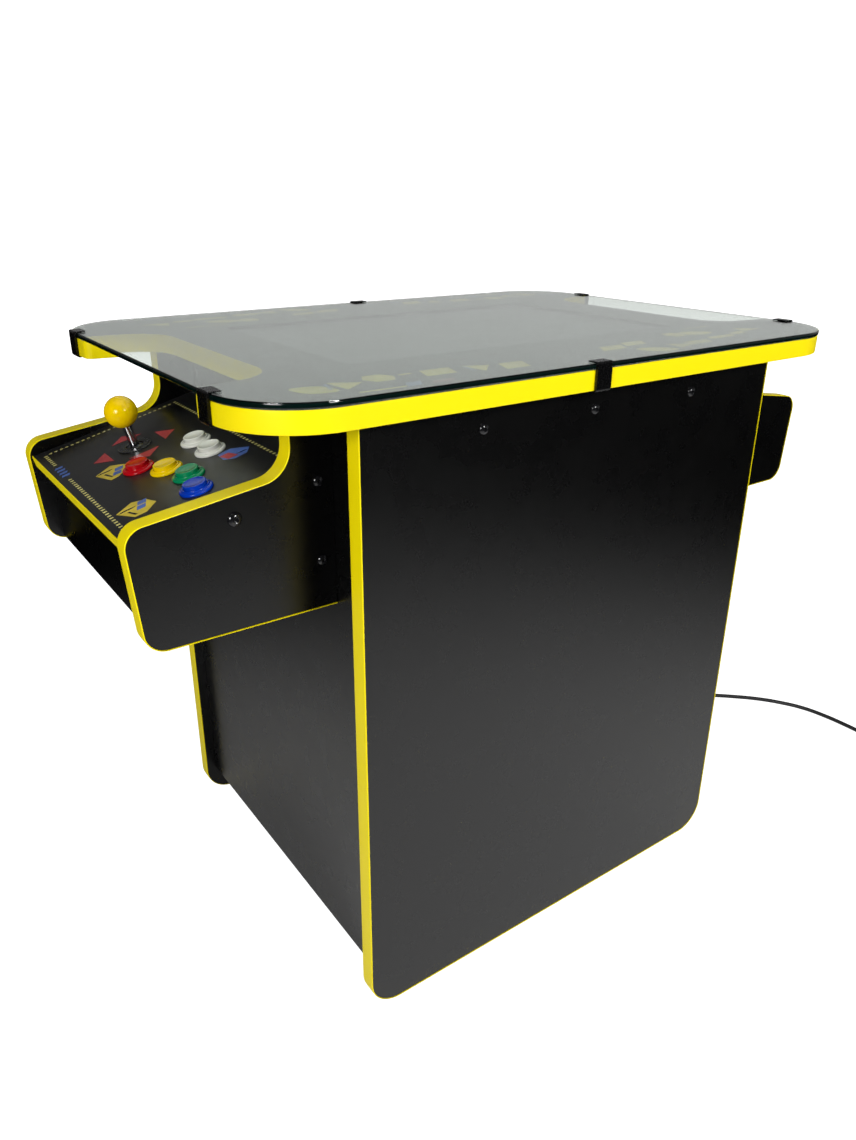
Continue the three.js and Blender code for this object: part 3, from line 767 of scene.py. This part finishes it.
def washer_part():
    """Flat dust washer lying on the deck round the shaft."""
    return lathe([
        (10.0, 0.1), (18.6, 0.1), (19.0, 0.4), (19.0, 0.9), (18.6, 1.2), (10.2, 1.2), (10.0, 1.0),
    ], 64, closed=True)


def gimbal_part():
    """Ring that the shaft turns in, with the two pins that it turns on itself."""
    ring = lathe([
        (8.6, -3.2), (8.9, -3.5), (12.7, -3.5), (13, -3.2), (13, 3.2), (12.7, 3.5),
        (8.9, 3.5), (8.6, 3.2),
    ], 48, closed=True)
    pins = []
    for side in (-1, 1):
        pin = lathe([(0, 12.5), (2.2, 12.5), (2.2, 16.2), (2, 16.4), (0, 16.4)], 16)
        pins.append(moved(pin, Matrix.Rotation(-side * math.pi / 2, 4, "X")))
    return merged(ring, *pins)


def add_joystick(end):
    top_of_deck = slope(end) @ shift(*STICK_AT, 0)
    pivot = top_of_deck @ shift(0, 0, -PIVOT_DEPTH)
    stick, gimbal = f"stick_{end}", f"gimbal_{end}"
    top = PIVOT_DEPTH + BALL_HEIGHT
    piece(f"stick_ball_{end}", moved(ball_part(top), pivot), "ball_yellow", stick,
          replaces=[f"joystick_ball_{end}"])
    piece(f"stick_shaft_{end}", moved(shaft_part(top), pivot), "shaft_chrome", stick,
          replaces=[f"joystick_shaft_{end}"])
    piece(f"stick_seal_{end}", moved(seal_part(), pivot), "washer_black", stick)
    piece(f"dust_washer_{end}", moved(washer_part(), top_of_deck), "washer_black")
    gate = slab(rectangle(31, 31, 4), -13, 11, 1, [circle(17)])
    piece(f"stick_gate_{end}", moved(gate, pivot), "black_plastic",
          replaces=[f"joystick_gate_{end}"])
    piece(f"stick_gimbal_{end}", moved(gimbal_part(), pivot), "black_plastic", gimbal,
          replaces=[f"joystick_gimbal_{end}"])


# ---- printed graphics ------------------------------------------------------------------------


PRINT_LIFT, SECOND_LIFT = 0.06, 0.2  # heights of the first and second print over the deck
ARROW_OUT = 30  # from the joystick's middle to each arrow's base
TICK_STEP = 6.77


def print_on(name, shapes, low, material, place=Matrix.Identity(4), thick=0.12):
    """Thin printed shapes lying on a surface at height `low`."""
    parts = [slab(shape, low, low + thick) for shape in shapes]
    piece(name, moved(merged(*parts), place), material)


def triangle(x, y, direction, length=18, width=35):
    """Triangle whose base's middle is at (x, y), its tip `length` away in a direction."""
    along = Vector((math.cos(direction), math.sin(direction)))
    across = Vector((-along.y, along.x))
    base = Vector((x, y))
    return polygon([base - across * width / 2, base + along * length, base + across * width / 2])


def lozenge(x, y, half_long, half_wide, turn=0.0):
    """Pointed oval lying along a direction."""
    points = []
    for i in range(24):
        angle = math.tau * i / 24
        across = half_wide * math.sin(angle) * (1 - 0.3 * abs(math.cos(angle)))
        along = half_long * math.cos(angle)
        points.append(Matrix.Rotation(turn, 2) @ Vector((along, across)) + Vector((x, y)))
    return polygon(points)


def slanted(x, y, long, wide, lean):
    """Parallelogram with two sides along X, its far side moved by `lean`."""
    return polygon([
        (x - long / 2 - lean / 2, y - wide / 2), (x + long / 2 - lean / 2, y - wide / 2),
        (x + long / 2 + lean / 2, y + wide / 2), (x - long / 2 + lean / 2, y + wide / 2),
    ])


def badge(x, y, half_long, half_wide):
    """Hexagon with two points along X."""
    half = half_long * 0.55
    return polygon([
        (x - half_long, y), (x - half, y - half_wide), (x + half, y - half_wide),
        (x + half_long, y), (x + half, y + half_wide), (x - half, y + half_wide),
    ])


def add_deck_print(end):
    """Generic shapes where the real deck has its pictures: arrows, a dashed border, badges."""
    place = slope(end)
    low, high = PRINT_LIFT, SECOND_LIFT
    x, y = STICK_AT
    arrows = []
    for quarter in range(4):
        angle = quarter * math.pi / 2
        base = (x + ARROW_OUT * math.cos(angle), y + ARROW_OUT * math.sin(angle))
        arrows.append(triangle(*base, angle))
    print_on(f"deck_arrows_{end}", arrows, low, "print_red", place)
    # A dashed border: in front with a gap in it, along one side, and at the back.
    front = [39.8 - TICK_STEP * i for i in range(27)] + [143 - TICK_STEP * i for i in range(7)]
    bars = [rectangle(1.9, 1.35, 0, 11.6, v) for v in front]
    bars += [rectangle(1.7, 1.2, 0, u * 0.5, 147) for u in range(36, 346, 13)]
    bars += [rectangle(1.6, 1.2, 0, 175, v) for v in range(-139, 149, 7)]
    print_on(f"deck_border_{end}", bars, low, "print_pale", place)
    badges = [
        polygon([(33, 17), (41, -11), (50, -9), (63, 3), (66, 17), (53, 30)]),
        polygon([(17, -100), (28, -123), (40, -123), (54, -110), (49, -95), (36, -88)]),
    ]
    print_on(f"deck_badges_{end}", badges, low, "print_yellow", place)
    strokes = [
        slanted(43, 17, 14, 2.6, 5), slanted(43, 4, 2.4, 14, -4), slanted(28, -101, 14, 2.6, 5),
        slanted(29, -113, 2.4, 12, -4), slanted(157, -86, 10, 2, -3),
    ]
    print_on(f"deck_strokes_{end}", strokes, high, "washer_black", place)
    squares = [slanted(u, v, 9, 8, 3) for u, v in ((57, 12), (52, 2), (44, -97), (40, -107))]
    print_on(f"deck_squares_{end}", squares, high, "print_blue", place)
    blue = [slanted(12, v, 8.6, 5.4, 2) for v in (58, 68, 78, 88)]
    blue.append(polygon([(136, -86), (146, -95), (160, -93), (168, -82), (153, -66), (138, -68)]))
    print_on(f"deck_marks_{end}", blue, low, "print_blue", place)
    print_on(f"deck_spot_{end}", [slanted(144, -82, 11, 15, -4)], high, "print_red", place)


def add_table_print():
    """Rows of generic blocks along both long sides; the far row is the near one turned round."""
    yellow = [
        lozenge(-322, -235, 22, 15, -0.7), triangle(-298, -232, 0.1, 28, 34),
        badge(-249, -222, 17, 14), slanted(-219, -220, 14, 4, 0), slanted(-186, -227, 34, 25, 8),
        triangle(-148, -232, 0.2, 24, 32), slanted(-103, -240, 30, 26, 10),
        slanted(-271, -265, 48, 4, 4), slanted(53, -222, 34, 20, 12),
        slanted(95, -214, 32, 18, 10), lozenge(87, -256, 24, 13, -0.5),
        triangle(120, -250, -0.1, 34, 26), slanted(165, -247, 40, 16, 8),
        badge(184, -196, 14, 12), lozenge(216, -201, 24, 13, -0.3),
        slanted(221, -236, 44, 12, 10), slanted(262, -228, 24, 12, 8),
        triangle(285, -212, -0.3, 34, 24), slanted(253, -172, 50, 2.5, 6),
    ]
    blue = [
        slanted(-236, -260, 16, 14, 6), slanted(-306, -231, 3, 24, 6),
        slanted(-152, -231, 3, 24, 4),
    ]
    red = [slanted(-205, -262, 24, 9, 6), slanted(122, -266, 20, 5, 4)]
    for color, shapes in {"yellow": yellow, "blue": blue, "red": red}.items():
        for side, turn in (("near", 0), ("far", math.pi)):
            place = Matrix.Rotation(turn, 4, "Z")
            print_on(f"table_{color}_{side}", shapes, SHEET_TOP + 0.04, f"sheet_{color}", place)


# ---- studio ----------------------------------------------------------------------------------

FLOOR_RADIUS = 9000
FLOOR_GLOW, FLOOR_GLOW_FAR = 1.05, 1.4
FLOOR_BRIGHT_AT = (0.0, -0.3, 0.0)  # the floor's reflection is brightest about this place
FLOOR_GLOW_RANGE, FLOOR_FADE_RANGE = (0.6, 4.0), (0.3, 1.68)  # metres from that place
FAR_WALL_AT = (0.87, 0.5, 0.0)  # direction towards the bright wall
FRONT_WALL, FAR_WALL, CEILING, SEEN_WHITE = 0.005, 0.46, 0.45, 1.35
WALL_RANGE = (-0.2, 1.15)  # from facing away from the bright wall to facing it
WALL_FALL_RANGE, WALL_FALL = (0.08, 0.42), 0.55  # rises over which a wall dims, and to what
CEILING_RANGE = (0.72, 0.97)
LIGHTS = {  # place and target in metres, size in metres, power in watts
    "overhead": ((-0.2, -0.4, 3.6), (0, 0, 0.4), 2.4, 11),
    "left_softbox": ((-2.65, -1.7, 1.35), (-0.2, -0.1, 0.6), 1.0, 56),
    "right_softbox": ((0.5, -3.0, 1.9), (-0.1, 0, 0.5), 0.7, 64),
}


def mapped(tree, value, from_low, from_high, to_low, to_high):
    """Smooth change from one number to another while `value` goes through a range."""
    made = tree.nodes.new("ShaderNodeMapRange")
    made.interpolation_type = "SMOOTHSTEP"
    made.inputs["From Min"].default_value = from_low
    made.inputs["From Max"].default_value = from_high
    made.inputs["To Min"].default_value = to_low
    made.inputs["To Max"].default_value = to_high
    link(tree, value, made.inputs["Value"])
    return made.outputs["Result"]


def calculated(tree, operation, first, second):
    made = tree.nodes.new("ShaderNodeMath")
    made.operation = operation
    for socket, value in zip(made.inputs, (first, second)):
        if isinstance(value, (int, float)):
            socket.default_value = value
        else:
            link(tree, value, socket)
    return made.outputs["Value"]


def seen_rays(tree):
    """1 for what the camera sees straight or through the glass, 0 for light and reflections."""
    path = tree.nodes.new("ShaderNodeLightPath").outputs
    return calculated(tree, "MAXIMUM", path["Is Camera Ray"], path["Is Transmission Ray"])


def add_floor():
    """White paper sweep: it blends into the white behind, and fades out in reflections."""
    points, faces = lathe([(0, -0.2), (FLOOR_RADIUS, -0.2)], 96)
    mesh = bpy.data.meshes.new("floor")
    mesh.from_pydata([Vector(p) * MM for p in points], [], faces)
    floor = bpy.data.objects.new("floor", mesh)
    made = bpy.data.materials.new("floor_white")
    made.use_nodes = True
    tree = made.node_tree
    shader = tree.nodes["Principled BSDF"]
    shader.inputs["Roughness"].default_value = 0.95
    shader.inputs["Specular IOR Level"].default_value = 0.1
    shader.inputs["Emission Color"].default_value = (1, 1, 1, 1)
    distance = tree.nodes.new("ShaderNodeVectorMath")
    distance.operation = "DISTANCE"
    distance.inputs[1].default_value = FLOOR_BRIGHT_AT
    link(tree, tree.nodes.new("ShaderNodeTexCoord").outputs["Object"], distance.inputs[0])
    away = distance.outputs["Value"]
    seen = seen_rays(tree)
    glow = mapped(tree, away, *FLOOR_GLOW_RANGE, FLOOR_GLOW, FLOOR_GLOW_FAR)
    link(tree, calculated(tree, "MULTIPLY", seen, glow), shader.inputs["Emission Strength"])
    dark = tree.nodes.new("ShaderNodeEmission")
    dark.inputs["Strength"].default_value = 0
    path = tree.nodes.new("ShaderNodeLightPath").outputs
    mirrored = calculated(tree, "SUBTRACT", path["Is Glossy Ray"], seen)
    lifted = calculated(tree, "MULTIPLY", mirrored, 0.3)
    link(tree, calculated(tree, "ADD", 0.8, lifted), shader.inputs["Base Color"])
    fading = calculated(tree, "MULTIPLY", mirrored, mapped(tree, away, *FLOOR_FADE_RANGE, 0, 1))
    mix = tree.nodes.new("ShaderNodeMixShader")
    link(tree, fading, mix.inputs[0])
    link(tree, shader.outputs["BSDF"], mix.inputs[1])
    link(tree, dark.outputs["Emission"], mix.inputs[2])
    link(tree, mix.outputs["Shader"], tree.nodes["Material Output"].inputs["Surface"])
    mesh.materials.append(made)
    SCENE.collection.objects.link(floor)


def add_area(name, place, target, size, power):
    data = bpy.data.lights.new(name, "AREA")
    data.shape = "DISK"
    data.size = size
    data.energy = power
    light = bpy.data.objects.new(name, data)
    light.location = place
    aim = Vector(target) - Vector(place)
    light.rotation_euler = aim.to_track_quat("-Z", "Y").to_euler()
    SCENE.collection.objects.link(light)


def add_world():
    """White where the camera sees it; as a light, a studio bright on the far side, dim in front."""
    world = bpy.data.worlds.new("studio")
    world.use_nodes = True
    tree = world.node_tree
    background = tree.nodes["Background"]
    direction = tree.nodes.new("ShaderNodeTexCoord").outputs["Generated"]
    facing = tree.nodes.new("ShaderNodeVectorMath")
    facing.operation = "DOT_PRODUCT"
    facing.inputs[1].default_value = FAR_WALL_AT
    link(tree, direction, facing.inputs[0])
    split = tree.nodes.new("ShaderNodeSeparateXYZ")
    link(tree, direction, split.inputs[0])
    rise = split.outputs["Z"]
    around = mapped(tree, facing.outputs["Value"], *WALL_RANGE, FRONT_WALL, FAR_WALL)
    upwards = mapped(tree, rise, *WALL_FALL_RANGE, 1.0, WALL_FALL)
    ceiling = mapped(tree, rise, *CEILING_RANGE, 0, CEILING)
    shade = calculated(tree, "ADD", calculated(tree, "MULTIPLY", around, upwards), ceiling)
    seen = seen_rays(tree)
    kept = calculated(tree, "MULTIPLY", calculated(tree, "SUBTRACT", 1, seen), shade)
    white = calculated(tree, "MULTIPLY", seen, SEEN_WHITE)
    link(tree, calculated(tree, "ADD", kept, white), background.inputs["Strength"])
    background.inputs["Color"].default_value = (1, 1, 1, 1)
    SCENE.world = world


def add_studio():
    add_floor()
    add_world()
    for name, settings in LIGHTS.items():
        add_area(name, *settings)
    SCENE.view_settings.view_transform = "Standard"


# ---- everything ------------------------------------------------------------------------------

add_camera()
add_cord()
add_gland()
add_sides()
add_inside()
add_top()
add_monitor()
add_clips()
for end_name in ("left", "right"):
    add_plates(end_name)
    add_deck(end_name)
    add_buttons(end_name)
    add_joystick(end_name)
    add_deck_print(end_name)
add_table_print()
add_studio()
